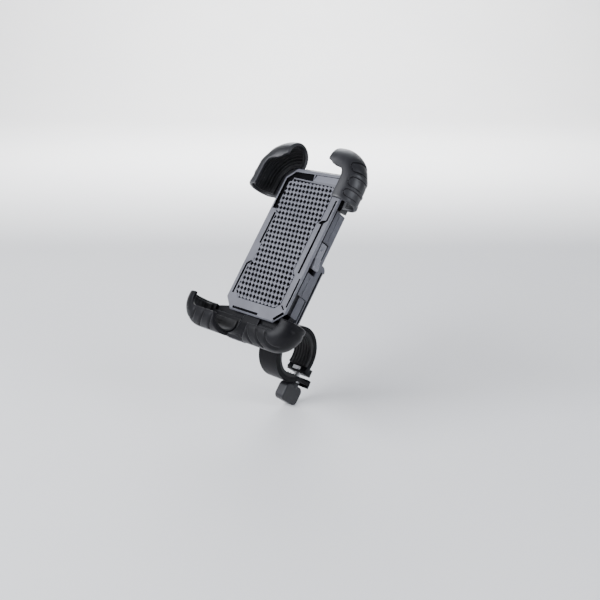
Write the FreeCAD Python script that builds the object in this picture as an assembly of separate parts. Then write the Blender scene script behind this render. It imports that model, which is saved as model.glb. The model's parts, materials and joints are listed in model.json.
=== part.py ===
import FreeCAD, Part
import math
import os

os.makedirs("parts", exist_ok=True)

# Bicycle phone mount, millimetres.  Row frame: the origin is the centre of the handlebar bore,
# X runs along the handlebar, Z is up and +Y points forward, away from the rider.
# The head is drawn in its own frame: x across the plate, y up the plate and z out of the plate
# towards the rider, with z = 0 on the face of the front cover.

V = FreeCAD.Vector
OUT = V(0, 0, 1)
ALONG = V(0, 1, 0)
ACROSS = V(1, 0, 0)

# --- driving dimensions: how the head stands on the handlebar ---
RECLINE = 52.31          # turn of the head about X, degrees; 90 would stand it upright
BAR_Y = -53.7            # handlebar axis in the head's frame
BAR_Z = -44.5
BORE_R = 12.7            # 25.4 mm handlebar
STUD_LENGTH = 33.0       # handlebar axis to ball centre
BALL_Z = -22.2
BALL_R = 7.2
BALL_Y = BAR_Y + math.sqrt(STUD_LENGTH ** 2 - (BALL_Z - BAR_Z) ** 2)

# --- front cover and pad ---
PLATE_HALF = 25.3
PLATE_TOP = 49.0
PLATE_BOTTOM = -48.5
PLATE_CHAMFER = 7.0
PLATE_STEP = 1.0         # the back of the cover is this much smaller all round
EDGE_BACK = -1.4
RIM_CHAMFER = 0.9
COVER_BACK = -2.2
PAD_DEPTH = 1.4
PAD_RISE = 0.3           # the soft pad stands this far proud of the cover
SLOT_DEPTH = 1.3
SLOT_WIDTH = 1.5
NARROW_SLOT = 1.2
FACET_DROP = 0.9         # the facet beside the top trench falls this far towards the top

# --- housing ---
HOUSE_HALF = 24.5
WALL = 2.0
HOUSE_TOP = 27.0
HOUSE_BOTTOM = -28.0
HOUSE_BACK = -11.5
FLOOR = -10.3
REAR_TOP = -5.0
REAR_BOTTOM = -42.5
REAR_BACK = -16.5
REAR_ARM_FRONT = -12.6   # front of the rear cover where the lower arm passes over it
GROOVES = [(-14.6, -13.4), (-17.0, -15.3)]
GROOVE_DEPTH = 0.9
SHADOW_LINE = 0.8        # depth and height of the step in the housing's sides under the cover

# --- sliding arms, rack and pinion ---
ARM_BACK = -9.8
ARM_FRONT = -6.6
MODULE = 1.0
TEETH = 10
PITCH_R = MODULE * TEETH / 2
PRESSURE = math.radians(25)
ADDENDUM = 0.8
DEDENDUM = 1.1
TOOTH_THIN = 0.28        # taken off each tooth for backlash
RACK_OUTER = 12.8
GUIDE_IN = 15.5
GUIDE_OUT = 19.0
POST_X = 14.15
SPRING_Z = -4.4
CHEEK_IN = 22.4
CHEEK_FRONT = -5.6
FIN_FRONT = -2.6         # the lower arm's cheeks rise in a set-back fin to just under the cover
FIN_SETBACK = 1.0

# --- claws ---
TUBE_WALL = 2.2
CLAW_BACK = -4.8         # back of every claw, resting on the front of its arm
LIP_ANGLE = 90.0         # the front lip ends here, degrees round from straight outward
LIP_SETBACK = 8.0        # the liner stops this far short of the lip
BACK_REACH = 5.6         # how far the back wall reaches in from the tube centre
LINER = 1.3
LINER_REACH = 2.6
LINER_GAP = 0.03
LINER_INSET = 1.5        # the liner stops this far inside each open end
# Each level of claws: outer radius of the half-tube section, tube centre line beside and past
# the phone, bend of that line, where the side ends, and the inner end near the phone's middle.
UPPER = {"r": 10.0, "x": 32.0, "y": 52.3, "bend": 13.0, "side_end": 28.0, "inner": 16.4}
LOWER = {"r": 9.2, "x": 37.0, "y": 56.3, "bend": 6.0, "side_end": 47.3, "inner": 6.9}

# --- lock lever ---
LEVER_Y = -3.5
LEVER_X = 23.5
LEVER_TOP = 6.0
LEVER_TIP = -10.6
LEVER_Z0 = -8.3
LEVER_Z1 = -3.2

# --- ball joint ---
CUP_GAP = 0.05
CUP_R = 8.2
SOCKET_R = 8.3
BOSS_R = 10.4
BOSS_END = 2.0           # boss, cup and ring nut run this far past the ball's centre
RING_IN = 10.5
RING_OUT = 12.6
NECK_R = 3.0

# --- handlebar clamp, in a frame centred on the bar and turned like the head ---
CLAMP_HALF = 7.8
SHELL_R = 15.0
BASE_R = 17.6
STRAP_R = 18.0
LINER_R = 14.9
RIB_WIDTH = 1.9
RIB_SPACING = 2.28
HINGE_R = 19.6
HINGE_ANGLE = 5.0        # degrees from +z towards +y
KNUCKLE_R = 3.0
PIN_R = 1.0
BASE_FLANGE = (-8.2, -3.6)
STRAP_FLANGE = (-13.6, -11.6)
BOLT_Z = -16.8
BOLT_R = 2.0
KNOB_TOP = -16.0
KNOB_BOTTOM = -28.4
KNOB_WIDTH = 15.6
KNOB_THICK = 7.4
COLLAR_R = 4.0


# ---------------------------------------------------------------- helpers

def polygon(points, z0, z1):
    """A prism: the points are (x, y) corners, extruded from z0 to z1."""
    corners = [V(x, y, z0) for x, y in points]
    face = Part.Face(Part.makePolygon(corners + corners[:1]))
    return face.extrude(V(0, 0, z1 - z0))


def section(points, x0, x1):
    """A prism along x: the points are (y, z) corners."""
    corners = [V(x0, y, z) for y, z in points]
    face = Part.Face(Part.makePolygon(corners + corners[:1]))
    return face.extrude(V(x1 - x0, 0, 0))


def box(x0, x1, y0, y1, z0, z1):
    return Part.makeBox(x1 - x0, y1 - y0, z1 - z0, V(x0, y0, z0))


def rod(start, direction, radius, length):
    return Part.makeCylinder(radius, length, start, direction)


def ring(start, direction, outer, inner, length):
    return rod(start, direction, outer, length).cut(rod(start, direction, inner, length))


def flip(shape):
    """The mirror image across the plate's middle line."""
    return shape.mirror(V(0, 0, 0), ACROSS)


def join(shapes):
    result = shapes[0]
    for shape in shapes[1:]:
        result = result.fuse(shape)
    return result.removeSplitter()


def edges_where(shape, test):
    return [edge for edge in shape.Edges if test(edge)]


def from_head(shape):
    """Place a shape drawn in the head's frame into the row's frame."""
    placed = shape.copy()
    placed.translate(V(0, -BAR_Y, -BAR_Z))
    placed.rotate(V(0, 0, 0), ACROSS, RECLINE)
    return placed


def from_clamp(shape):
    """Place a shape drawn about the handlebar's centre into the row's frame."""
    placed = shape.copy()
    placed.rotate(V(0, 0, 0), ACROSS, RECLINE)
    return placed


def save(name, shape):
    solids = shape.Solids
    part = solids[0] if len(solids) == 1 else Part.makeCompound(solids)
    assert part.isValid(), name
    part.exportStep("parts/" + name + ".step")
    size = part.BoundBox
    print("%-20s %2d solids %9.1f mm3  x %6.1f %6.1f  y %6.1f %6.1f  z %6.1f %6.1f" % (
        name, len(solids), part.Volume, size.XMin, size.XMax, size.YMin, size.YMax,
        size.ZMin, size.ZMax))


def octagon(half, bottom, top, chamfer):
    return [
        (-half + chamfer, bottom), (half - chamfer, bottom), (half, bottom + chamfer),
        (half, top - chamfer), (half - chamfer, top), (-half + chamfer, top),
        (-half, top - chamfer), (-half, bottom + chamfer)]


def slot(x0, y0, x1, y1, width=SLOT_WIDTH):
    """A straight slot cut into the front cover between two points."""
    length = math.hypot(x1 - x0, y1 - y0)
    side_x = (y1 - y0) / length * width / 2
    side_y = -(x1 - x0) / length * width / 2
    corners = [
        (x0 + side_x, y0 + side_y), (x1 + side_x, y1 + side_y),
        (x1 - side_x, y1 - side_y), (x0 - side_x, y0 - side_y)]
    return polygon(corners, -SLOT_DEPTH, 1)


# ---------------------------------------------------------------- front cover and pad

PAD_OUTLINE = [
    (-15.5, -40.5), (15.5, -40.5), (19.0, -37.0), (19.0, -18.5), (16.4, -16.0), (16.4, 15.8),
    (18.6, 18.0), (18.6, 37.8), (16.2, 40.2), (-17.6, 41.4), (-20.2, 38.6), (-20.2, 19.8),
    (-18.0, 17.6), (-18.0, -16.0), (-19.8, -18.0), (-19.8, -36.2)]
TRENCH = [
    (-23.3, 20.0), (-20.2, 20.0), (-20.2, 38.6), (-17.6, 41.4), (-17.6, 42.2), (-1.6, 41.6),
    (-2.6, 46.3), (-18.0, 46.3), (-23.3, 41.0)]
CORNER_POCKET = [(17.4, 16.0), (19.4, 18.2), (22.4, 18.6), (20.6, 15.6)]
SCREW_SPOTS = [(20.9, 23.6), (-20.9, 23.6), (20.9, -24.4), (-20.9, -24.4)]


def front_cover():
    edge = octagon(PLATE_HALF, PLATE_BOTTOM, PLATE_TOP, PLATE_CHAMFER)
    back = octagon(PLATE_HALF - PLATE_STEP, PLATE_BOTTOM + PLATE_STEP, PLATE_TOP - PLATE_STEP,
                   PLATE_CHAMFER)
    cover = join([polygon(edge, EDGE_BACK, 0), polygon(back, COVER_BACK, EDGE_BACK)])
    rim = edges_where(cover, lambda e: abs(e.BoundBox.ZMin) < 1e-6)
    cover = cover.makeChamfer(RIM_CHAMFER, rim)
    bosses = [rod(V(x, y, FLOOR), OUT, 1.5, COVER_BACK - FLOOR) for x, y in SCREW_SPOTS]
    cover = join([cover] + bosses)
    facet = section([(41.9, 0.0), (46.4, -FACET_DROP), (46.4, 1.0), (41.9, 1.0)], -1.4, 19.6)
    cuts = [polygon(PAD_OUTLINE, -PAD_DEPTH, 1), polygon(TRENCH, -SLOT_DEPTH, 1),
            polygon(CORNER_POCKET, -SLOT_DEPTH, 1), facet]
    cuts += [rod(V(x, y, FLOOR - 1), OUT, 0.8, 7) for x, y in SCREW_SPOTS]
    cuts += [
        slot(-19.2, 17.4, -19.2, -4.0), slot(-18.6, -16.4, -21.3, -18.4),
        slot(-21.5, -18.2, -21.5, -38.4), slot(23.0, 32.0, 23.0, 18.6, NARROW_SLOT),
        slot(23.0, 18.8, 20.8, 16.4, NARROW_SLOT), slot(20.8, 16.6, 20.8, -16.5),
        slot(23.8, -19.5, 23.8, -38.0, NARROW_SLOT), slot(19.8, -37.5, 22.8, -39.8, 0.9),
        slot(18.4, -46.8, 23.8, -41.4), slot(-16.2, -46.8, 5.4, -46.8)]
    for cut in cuts:
        cover = cover.cut(cut)
    return cover


def grip_pad():
    return polygon(PAD_OUTLINE, -PAD_DEPTH, PAD_RISE)


# ---------------------------------------------------------------- housing and rear cover

def mid_housing():
    shell = box(-HOUSE_HALF, HOUSE_HALF, HOUSE_BOTTOM, HOUSE_TOP, HOUSE_BACK, COVER_BACK)
    inner = HOUSE_HALF - WALL
    shell = shell.cut(box(-inner, inner, HOUSE_BOTTOM - 1, HOUSE_TOP + 1, FLOOR, 1))
    posts = [
        rod(V(0, 0, FLOOR), OUT, 2.6, 0.4),
        rod(V(POST_X, -21.0, FLOOR), OUT, 1.0, 7.2),
        rod(V(-POST_X, 21.0, FLOOR), OUT, 1.0, 7.2)]
    shell = join([shell] + posts)
    window = box(inner - 1, HOUSE_HALF + 1, LEVER_TIP - 3.0, LEVER_TOP + 0.9,
                 LEVER_Z0 - 0.9, LEVER_Z1 + 0.4)
    cuts = [window, rod(V(LEVER_X, LEVER_Y, -10.2), OUT, 0.8, 7.8)]
    cuts.append(rod(V(0, 0, HOUSE_BACK - 1), OUT, 1.5, 3))
    for x, y in SCREW_SPOTS:
        cuts.append(rod(V(x, y, HOUSE_BACK - 1), OUT, 1.05, 3))
        cuts.append(rod(V(x, y, HOUSE_BACK - 1), OUT, 1.9, 1.5))
    for side in (-1, 1):
        groove_x = side * (HOUSE_HALF - 0.25)
        cuts.append(box(min(groove_x, side * 26), max(groove_x, side * 26),
                        HOUSE_BOTTOM - 1, HOUSE_TOP + 1, -6.7, -6.3))
        step_x = side * (HOUSE_HALF - SHADOW_LINE)
        cuts.append(box(min(step_x, side * 26), max(step_x, side * 26),
                        HOUSE_BOTTOM - 1, HOUSE_TOP + 1, COVER_BACK - SHADOW_LINE, 0))
    for cut in cuts:
        shell = shell.cut(cut)
    return shell


def rear_cover():
    half = HOUSE_HALF - 0.2
    cover = box(-half, half, REAR_BOTTOM, REAR_TOP, REAR_BACK, HOUSE_BACK)
    shoulder = edges_where(cover, lambda e: e.BoundBox.YMin > REAR_TOP - 0.01
                           and e.BoundBox.ZMax < REAR_BACK + 0.01)
    cover = cover.makeFillet(3.6, shoulder)
    foot = edges_where(cover, lambda e: e.BoundBox.YMax < REAR_BOTTOM + 0.01
                       and e.BoundBox.ZMax < REAR_BACK + 0.01)
    cover = cover.makeFillet(2.0, foot)
    cover = cover.cut(box(-30, 30, REAR_BOTTOM - 1, HOUSE_BOTTOM - 0.3, REAR_ARM_FRONT, 0))
    hollow = box(-half + 1.3, half - 1.3, HOUSE_BOTTOM + 1.4, REAR_TOP - 2, REAR_BACK + 1.8, 0)
    ball = V(0, BALL_Y, BALL_Z)
    seat = rod(V(0, BALL_Y, REAR_BACK), OUT, 11.5, REAR_ARM_FRONT - REAR_BACK)
    boss_end = BALL_Z - BOSS_END
    boss = rod(V(0, BALL_Y, boss_end), OUT, BOSS_R, REAR_BACK - boss_end + 1)
    cover = join([cover.cut(hollow), seat, boss])
    cover = cover.cut(Part.makeSphere(SOCKET_R, ball))
    cover = cover.cut(rod(ball, V(0, 0, -1), SOCKET_R, 10))
    for turn in range(4):
        slit = box(-0.5, 0.5, 4, 12, boss_end - 1, REAR_BACK - 1.5)
        slit.rotate(V(0, 0, 0), OUT, 45 + 90 * turn)
        slit.translate(V(0, BALL_Y, 0))
        cover = cover.cut(slit)
    for z0, z1 in GROOVES:
        for side in (-1, 1):
            inner = side * (half - GROOVE_DEPTH)
            outer = side * (half + 1)
            cover = cover.cut(box(min(inner, outer), max(inner, outer), REAR_BOTTOM - 1,
                                  REAR_TOP - 3.5, z0, z1))
    return cover


def cover_screws():
    screws = []
    for x, y in SCREW_SPOTS:
        head = rod(V(x, y, HOUSE_BACK - 0.5), OUT, 1.8, 1.0)
        head = head.cut(box(x - 0.25, x + 0.25, y - 1, y + 1, HOUSE_BACK - 1, HOUSE_BACK - 0.1))
        screws.append(head.fuse(rod(V(x, y, HOUSE_BACK), OUT, 0.8, 6.0)))
    return Part.makeCompound(screws)


# ---------------------------------------------------------------- arms, racks and pinion

def involute_point(base_radius, radius):
    roll = math.sqrt(max(radius * radius / base_radius ** 2 - 1, 0))
    return roll - math.atan(roll)


def pinion():
    base_radius = PITCH_R * math.cos(PRESSURE)
    tip = PITCH_R + ADDENDUM
    root = PITCH_R - DEDENDUM
    half_pitch = (math.pi * MODULE / 2 - TOOTH_THIN) / (2 * PITCH_R)
    at_pitch = involute_point(base_radius, PITCH_R)
    steps = [base_radius + (tip - base_radius) * i / 4 for i in range(5)]
    flank = [(r, half_pitch + at_pitch - involute_point(base_radius, r)) for r in steps]
    outline = []
    for tooth in range(TEETH):
        middle = 2 * math.pi * tooth / TEETH
        right = [(root, flank[0][1])] + flank
        points = [(r, middle - a) for r, a in right] + [(r, middle + a) for r, a in reversed(right)]
        outline += [(r * math.cos(a), r * math.sin(a)) for r, a in points]
    gear = polygon(outline, ARM_BACK, ARM_FRONT)
    gear = gear.fuse(rod(V(0, 0, ARM_BACK), OUT, 2.6, ARM_FRONT - ARM_BACK + 2.0))
    return gear.cut(rod(V(0, 0, -12), OUT, 1.55, 12))


def rack(y0, y1):
    """A rack on the +x side with its teeth facing the pinion, from y0 to y1."""
    pitch = math.pi * MODULE
    half = (pitch / 2 - TOOTH_THIN) / 2
    slope = math.tan(PRESSURE)
    tip_x = PITCH_R - ADDENDUM
    root_x = PITCH_R + DEDENDUM
    outline = [(RACK_OUTER, y1), (RACK_OUTER, y0), (root_x, y0)]
    index = math.ceil((y0 + 0.9) / pitch - 0.5)
    while (index + 0.5) * pitch + 0.9 < y1:
        middle = (index + 0.5) * pitch
        wide = half + DEDENDUM * slope
        narrow = half - ADDENDUM * slope
        outline += [(root_x, middle - wide), (tip_x, middle - narrow),
                    (tip_x, middle + narrow), (root_x, middle + wide)]
        index += 1
    outline.append((root_x, y1))
    return polygon(outline, ARM_BACK, ARM_FRONT)


def arm(sign):
    """The upper arm (sign 1) or the lower arm (sign -1), drawn with its rack on the +x side."""
    near = 28.5
    end = 52.0 if sign > 0 else 53.0
    legs = [rack(-27.5, near + 1), box(-GUIDE_OUT, -GUIDE_IN, -24.0, near + 1, ARM_BACK, ARM_FRONT)]
    bridge = polygon([(-22.5, near), (22.5, near), (22.5, 44), (17, end), (-17, end), (-22.5, 44)],
                     ARM_BACK, ARM_FRONT)
    pieces = legs + [bridge]
    for side in (-1, 1):
        cheek = box(CHEEK_IN, HOUSE_HALF, near, 41.0, HOUSE_BACK + 0.2, CHEEK_FRONT)
        wing = polygon([(23.4, near + 2.5), (30.0, near + 4.5), (31.0, 45), (27.5, 52),
                        (22.5, 53.5), (22.5, 42)], ARM_BACK + 1.0, CLAW_BACK)
        link = polygon([(16.9, 44), (22.4, 38), (24.4, 38), (24.4, 48), (16.9, end)],
                       ARM_BACK, CLAW_BACK - 1.2)
        if sign < 0:
            wing = polygon([(22.4, 45.5), (33.0, 47.8), (35.0, 52), (31, 59), (26, 61), (6, 61),
                            (6, 48), (17, 48)], ARM_BACK + 1.0, CLAW_BACK)
        shaped = [cheek, wing, link]
        if sign < 0:
            shaped.append(box(CHEEK_IN, HOUSE_HALF - FIN_SETBACK, near, 40.4,
                              CHEEK_FRONT - 1.0, FIN_FRONT))
        for piece in shaped:
            pieces.append(piece if side > 0 else flip(piece))
    if sign < 0:
        # The trough between the two lower claws: a curved wall and floor behind the open notch.
        outer = section([(48.8, -2.6), (53.5, -2.6), (58.0, -1.6), (61.4, 0.4), (63.2, 3.0),
                         (65.3, 3.0), (65.3, 0.0), (63.6, -3.5), (60.0, -6.6), (56.0, -8.8),
                         (48.8, -8.8)], -6.6, 6.6)
        pieces.append(outer)
    post = rod(V(-POST_X, 31.0, ARM_BACK), OUT, 1.0, -3.0 - ARM_BACK)
    pieces.append(post)
    body = join(pieces)
    screw_spots = claw_screw_spots(sign)
    for x, y in screw_spots:
        body = body.cut(rod(V(x, y, -12), OUT, 1.1, 12))
        body = body.cut(rod(V(x, y, ARM_BACK - 1), OUT, 2.1, 2.0))
    if sign < 0:
        body.rotate(V(0, 0, 0), OUT, 180)
    return body


def claw_screw_spots(sign):
    if sign > 0:
        return [(28.6, 37.0), (-28.6, 37.0), (25.0, 49.0), (-25.0, 49.0)]
    return [(33.0, 51.6), (-33.0, 51.6), (13.0, 52.4), (-13.0, 52.4)]


def arm_screws(sign):
    screws = []
    for x, y in claw_screw_spots(sign):
        place_y = y * sign
        head = rod(V(x, place_y, ARM_BACK + 0.2), OUT, 1.9, 0.8)
        head = head.cut(box(x - 0.25, x + 0.25, place_y - 1, place_y + 1, ARM_BACK, ARM_BACK + 0.6))
        screws.append(head.fuse(rod(V(x, place_y, ARM_BACK + 0.9), OUT, 1.0, 5.6)))
    return Part.makeCompound(screws)


def spring(y0, y1, x):
    """An extension spring between two posts, with its axis along y."""
    radius = 1.3
    wire = 0.22
    start = y0 + 1.4
    length = (y1 - y0) - 2.8
    helix = Part.makeHelix(2.4, length, radius)
    profile = Part.Wire([Part.makeCircle(wire, V(radius, 0, 0), V(0, 1, 0.29))])
    coil = Part.Wire(helix.Edges).makePipeShell([profile], True, True)
    coil.rotate(V(0, 0, 0), ACROSS, -90)
    coil.translate(V(x, start, SPRING_Z))
    eyes = []
    for y in (y0, y1):
        eyes.append(Part.makeTorus(1.25, wire, V(x, y, SPRING_Z + 0.9), OUT))
    return Part.makeCompound([coil] + eyes)


# ---------------------------------------------------------------- claws

def tube_section(lip_angle, inner_radius, outer_radius, back_reach, back_front, back_back):
    """The claw's section as a face in the x-z plane: an arc from the front lip round to the back.

    x is measured outward from the tube centre, z from the tube centre towards the rider."""
    lip = math.radians(lip_angle)
    middle = (lip - math.pi / 2) / 2
    outer = [V(outer_radius * math.cos(a), 0, outer_radius * math.sin(a)) for a in (lip, middle)]
    inner = [V(inner_radius * math.cos(a), 0, inner_radius * math.sin(a)) for a in (lip, middle)]
    nose = (outer_radius - inner_radius) / 2
    mid_r = (outer_radius + inner_radius) / 2
    nose_tip = V(mid_r * math.cos(lip) - nose * math.sin(lip), 0,
                 mid_r * math.sin(lip) + nose * math.cos(lip))
    edges = [
        Part.Arc(outer[0], outer[1], V(0, 0, back_back)).toShape(),
        Part.makeLine(V(0, 0, back_back), V(-back_reach, 0, back_back)),
        Part.makeLine(V(-back_reach, 0, back_back), V(-back_reach, 0, back_front)),
        Part.makeLine(V(-back_reach, 0, back_front), V(0, 0, back_front)),
        Part.Arc(V(0, 0, back_front), inner[1], inner[0]).toShape(),
        Part.Arc(inner[0], nose_tip, outer[0]).toShape()]
    return Part.Face(Part.Wire(edges))


def swept_claw(face, level, inset=0.0):
    """Sweep a section up the side, round the corner and in along the top."""
    bend_x = level["x"] - level["bend"]
    bend_y = level["y"] - level["bend"]
    tube_z = CLAW_BACK + level["r"]
    side_start = level["side_end"] + inset
    side_face = face.copy()
    side_face.translate(V(level["x"], side_start, tube_z))
    side = side_face.extrude(V(0, bend_y - side_start, 0))
    corner_face = face.copy()
    corner_face.translate(V(level["x"], bend_y, tube_z))
    corner = corner_face.revolve(V(bend_x, bend_y, 0), OUT, 90)
    top_face = corner_face.copy()
    top_face.rotate(V(bend_x, bend_y, 0), OUT, 90)
    top = top_face.extrude(V(level["inner"] + inset - bend_x, 0, 0))
    return join([side, corner, top])


def notch(level):
    """The rounded gap between the front lips of the two lower claws."""
    start = level["inner"]
    profile = [(-20, -20), (start, -20), (start, -1.0), (start + 1.4, 4.0), (start + 4.2, 9.0),
               (start + 7.2, 13.0), (start + 8.4, 20), (-20, 20)]
    corners = [V(x, 0, z) for x, z in profile]
    return Part.Face(Part.makePolygon(corners + corners[:1])).extrude(V(0, 90, 0))


def claw(level):
    outer = level["r"]
    inner = outer - TUBE_WALL
    face = tube_section(LIP_ANGLE, inner, outer, BACK_REACH, -inner, -outer)
    return swept_claw(face, level)


def claw_liner(level):
    """The soft ribbed insert that lines a claw."""
    outer = level["r"] - TUBE_WALL - LINER_GAP
    inner = outer - LINER
    face = tube_section(LIP_ANGLE - LIP_SETBACK, inner, outer, LINER_REACH, -inner, -outer)
    return swept_claw(face, level, LINER_INSET)


# ---------------------------------------------------------------- lock lever

def lock_lever():
    outline = [
        (22.9, LEVER_TOP), (24.5, LEVER_TOP), (24.7, LEVER_Y), (26.3, -8.6), (26.3, -9.8),
        (25.6, LEVER_TIP), (24.2, LEVER_TIP), (22.9, -7.0)]
    plate = polygon(outline, LEVER_Z0, LEVER_Z1)
    middle = (LEVER_Z0 + LEVER_Z1) / 2
    bump = Part.makeSphere(0.9, V(24.3, 1.5, middle + 0.3))
    lower = Part.makeSphere(0.9, V(25.2, -6.5, middle - 0.2))
    plate = join([plate, bump, lower])
    return plate.cut(rod(V(LEVER_X, LEVER_Y, -12), OUT, 0.85, 12))


def lock_shoe():
    return box(GUIDE_OUT + 0.1, 22.9, 0.5, 5.2, LEVER_Z0 + 0.6, ARM_FRONT)


# ---------------------------------------------------------------- ball joint

def ball_cup():
    ball = V(0, BALL_Y, BALL_Z)
    cup = Part.makeSphere(CUP_R, ball).fuse(rod(ball, V(0, 0, -1), CUP_R, BOSS_END))
    cup = cup.cut(Part.makeSphere(BALL_R + CUP_GAP, ball))
    cup = cup.cut(box(-20, 20, BALL_Y - 20, BALL_Y + 20, BALL_Z - 30, BALL_Z - BOSS_END))
    for turn in range(4):
        slit = box(-0.4, 0.4, 2, 12, BALL_Z - 5, BALL_Z + 2)
        slit.rotate(V(0, 0, 0), OUT, 90 * turn)
        slit.translate(V(0, BALL_Y, 0))
        cup = cup.cut(slit)
    return cup


def ring_nut():
    start = BALL_Z - BOSS_END - 0.1
    length = -16.9 - start
    nut = rod(V(0, BALL_Y, start), OUT, RING_OUT, length)
    outer_rims = edges_where(nut, lambda e: e.BoundBox.ZLength < 0.01)
    nut = nut.makeChamfer(0.8, outer_rims)
    nut = nut.cut(rod(V(0, BALL_Y, start - 1), OUT, RING_IN, length + 2))
    grips = 16
    for turn in range(grips):
        angle = 2 * math.pi * turn / grips
        centre = V((RING_OUT + 0.9) * math.cos(angle), BALL_Y + (RING_OUT + 0.9) * math.sin(angle),
                   start - 1)
        nut = nut.cut(rod(centre, OUT, 1.5, length + 2))
    return nut


def stud_direction():
    direction = V(0, BALL_Y - BAR_Y, BALL_Z - BAR_Z)
    direction.normalize()
    return direction


def ball_stud():
    axis = stud_direction()
    neck = rod(axis * 15.7, axis, NECK_R - 0.05, STUD_LENGTH - 15.7 - 3)
    head = rod(axis * 15.7, axis, 4.6, 2.3)
    ball = Part.makeSphere(BALL_R, axis * STUD_LENGTH)
    return join([neck, head, ball])


# ---------------------------------------------------------------- handlebar clamp

def direction(angle):
    """Unit vector at an angle in degrees from +z towards +y, about the handlebar."""
    turn = math.radians(angle)
    return V(0, math.sin(turn), math.cos(turn))


def shell_arc(inner, outer, start, end, half=CLAMP_HALF):
    """Part of a ring about the handlebar, from one angle to another."""
    edges = []
    middle = (start + end) / 2
    edges.append(Part.Arc(direction(start) * inner, direction(middle) * inner,
                          direction(end) * inner).toShape())
    edges.append(Part.makeLine(direction(end) * inner, direction(end) * outer))
    edges.append(Part.Arc(direction(end) * outer, direction(middle) * outer,
                          direction(start) * outer).toShape())
    edges.append(Part.makeLine(direction(start) * outer, direction(start) * inner))
    solid = Part.Face(Part.Wire(edges)).extrude(V(2 * half, 0, 0))
    solid.translate(V(-half, 0, 0))
    return solid


HINGE = direction(HINGE_ANGLE) * HINGE_R
KNUCKLE_HALF = 2.9


def clamp_base():
    axis = stud_direction()
    arc = shell_arc(SHELL_R, BASE_R, 7.0, 206.0)
    boss = rod(axis * 12.0, axis, 6.4, 9.4)
    rim = edges_where(boss, lambda e: e.Length > 30 and
                      abs(e.CenterOfMass.dot(axis) - 21.4) < 0.1)
    boss = boss.makeFillet(1.0, rim)
    flange = box(-6.6, 6.6, BASE_FLANGE[0], BASE_FLANGE[1], BOLT_Z - 6.4, -12.0)
    back_corners = edges_where(flange, lambda e: e.BoundBox.YLength > 4 and
                               e.BoundBox.ZMax < BOLT_Z - 6)
    flange = flange.makeFillet(2.5, back_corners)
    knuckle = rod(HINGE + V(-CLAMP_HALF, 0, 0), ACROSS, KNUCKLE_R, 2 * CLAMP_HALF)
    base = join([arc, boss, flange, knuckle])
    gap = rod(HINGE + V(-KNUCKLE_HALF - 0.25, 0, 0), ACROSS, KNUCKLE_R + 0.4,
              2 * KNUCKLE_HALF + 0.5)
    cuts = [
        gap,
        rod(V(-20, 0, 0), ACROSS, SHELL_R, 40),
        rod(HINGE + V(-20, 0, 0), ACROSS, PIN_R, 40),
        rod(axis * 10, axis, 4.7, 8.1),
        rod(axis * 10, axis, NECK_R, 15),
        rod(V(0, -12, BOLT_Z), ALONG, BOLT_R + 0.2, 14),
        box(-3.4, 3.4, -7.0, -4.5, BOLT_Z - 10, BOLT_Z + 3.5)]
    for cut in cuts:
        base = base.cut(cut)
    return base


def clamp_strap():
    arc = shell_arc(SHELL_R, STRAP_R, 3.0, -128.0)
    rider_side = rod(HINGE + V(-20, 0, 0), ACROSS, KNUCKLE_R + 0.4, 40)
    arc = arc.cut(rider_side)
    flange = box(-CLAMP_HALF, CLAMP_HALF, STRAP_FLANGE[0], STRAP_FLANGE[1], -23.4, -8.4)
    lip = box(-CLAMP_HALF, CLAMP_HALF, STRAP_FLANGE[0] - 1.6, STRAP_FLANGE[0] + 0.1, -23.4, -22.2)
    fins = [box(-CLAMP_HALF, CLAMP_HALF, STRAP_FLANGE[1] - 0.1, STRAP_FLANGE[1] + 1.5, z, z + 0.7)
            for z in (-23.2, -21.9, -20.6)]
    knuckle = rod(HINGE + V(-KNUCKLE_HALF, 0, 0), ACROSS, KNUCKLE_R, 2 * KNUCKLE_HALF)
    web = box(-KNUCKLE_HALF, KNUCKLE_HALF, -3.6, 1.0, SHELL_R, 19.6)
    strap = join([arc, flange, lip, knuckle, web] + fins)
    cuts = [
        rod(V(-20, 0, 0), ACROSS, SHELL_R, 40),
        rod(HINGE + V(-20, 0, 0), ACROSS, PIN_R + 0.05, 40),
        box(-BOLT_R - 0.4, BOLT_R + 0.4, -20, 0, BOLT_Z - 3.4, BOLT_Z + 3.2)]
    for cut in cuts:
        strap = strap.cut(cut)
    return strap


def ribbed_liner(start, end):
    """A rubber strip inside the clamp, with ribs that run round the bar."""
    liner = shell_arc(BORE_R + 0.5, LINER_R, start, end, CLAMP_HALF - 0.3)
    ribs = []
    for index in range(-3, 4):
        rib = shell_arc(BORE_R, BORE_R + 0.6, start, end, RIB_WIDTH / 2)
        rib.translate(V(index * RIB_SPACING, 0, 0))
        ribs.append(rib)
    return join([liner] + ribs)


def clamp_nut():
    nut = box(-3.2, 3.2, -6.9, -4.6, BOLT_Z - 3.2, BOLT_Z + 3.2)
    return nut.cut(rod(V(0, -12, BOLT_Z), ALONG, BOLT_R + 0.05, 14))


def thrust_washer():
    return ring(V(0, STRAP_FLANGE[0] - 1.1, BOLT_Z), ALONG, COLLAR_R, BOLT_R + 0.05, 1.0)


def clamp_bolt():
    return rod(V(0, KNOB_BOTTOM + 4.0, BOLT_Z), ALONG, BOLT_R, -3.0 - KNOB_BOTTOM - 4.0)


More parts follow.
